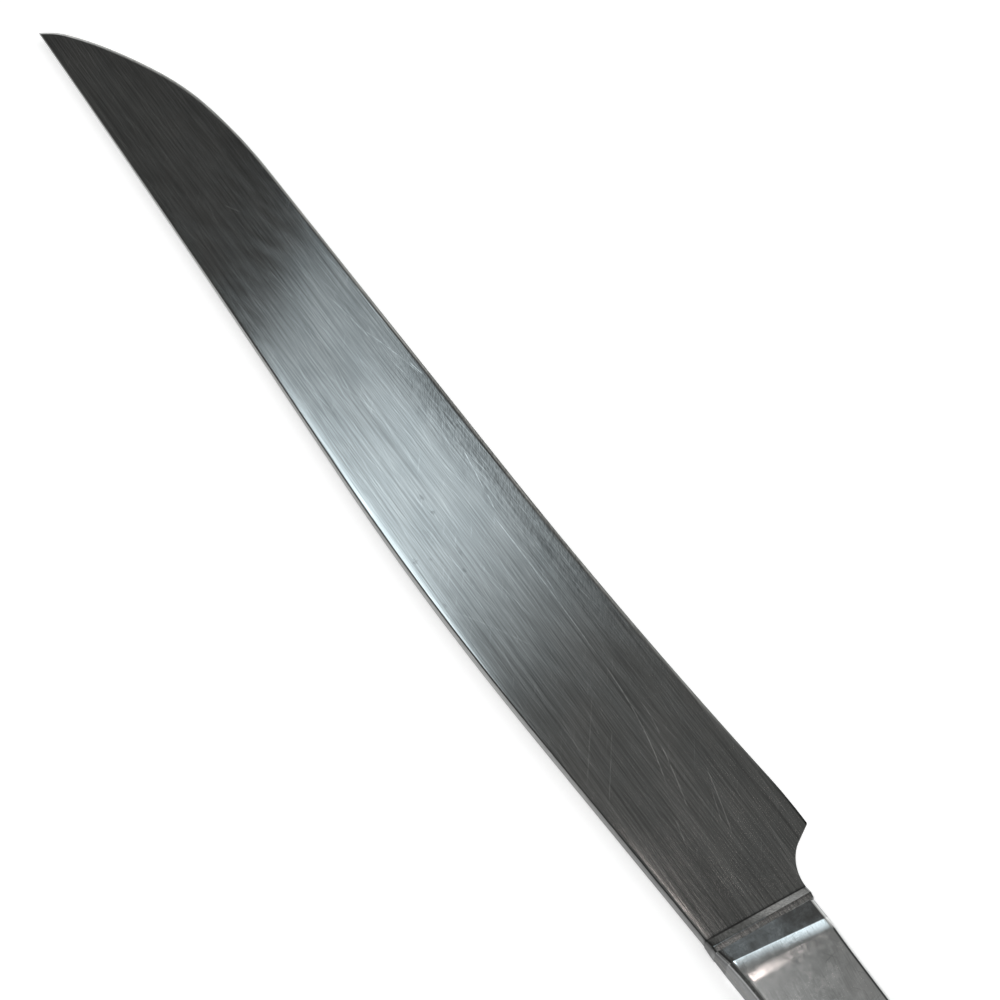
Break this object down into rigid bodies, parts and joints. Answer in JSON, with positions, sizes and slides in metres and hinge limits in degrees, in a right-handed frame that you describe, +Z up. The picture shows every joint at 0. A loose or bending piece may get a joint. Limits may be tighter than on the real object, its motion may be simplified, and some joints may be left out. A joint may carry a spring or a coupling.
{
  "type": "carving knife",
  "caption": "Long carving knife lying on its side: a straight-backed steel blade with a pointed heel, a forged collar and a slim flat handle of brazed steel shells.",
  "frame": {"origin": "middle of the flat side of the handle that the knife lies on", "axes": "+X along the handle towards the point, +Y from the cutting edge towards the back of the blade, +Z up through the thickness"},
  "size_m": [0.3432, 0.0275, 0.005],
  "materials": {
    "blade_steel": "satin, with fine scratches along the blade",
    "handle_steel": "polished, with light wear",
    "solder": "filed flush",
    "compound": "matt"
  },
  "bodies": {
    "root": {"blade": "blade_steel", "handle_shell_upper": "handle_steel", "handle_shell_lower": "handle_steel", "seam_braze": "solder", "mouth_solder": "solder", "handle_filler": "compound"}
  },
  "joints": []
}
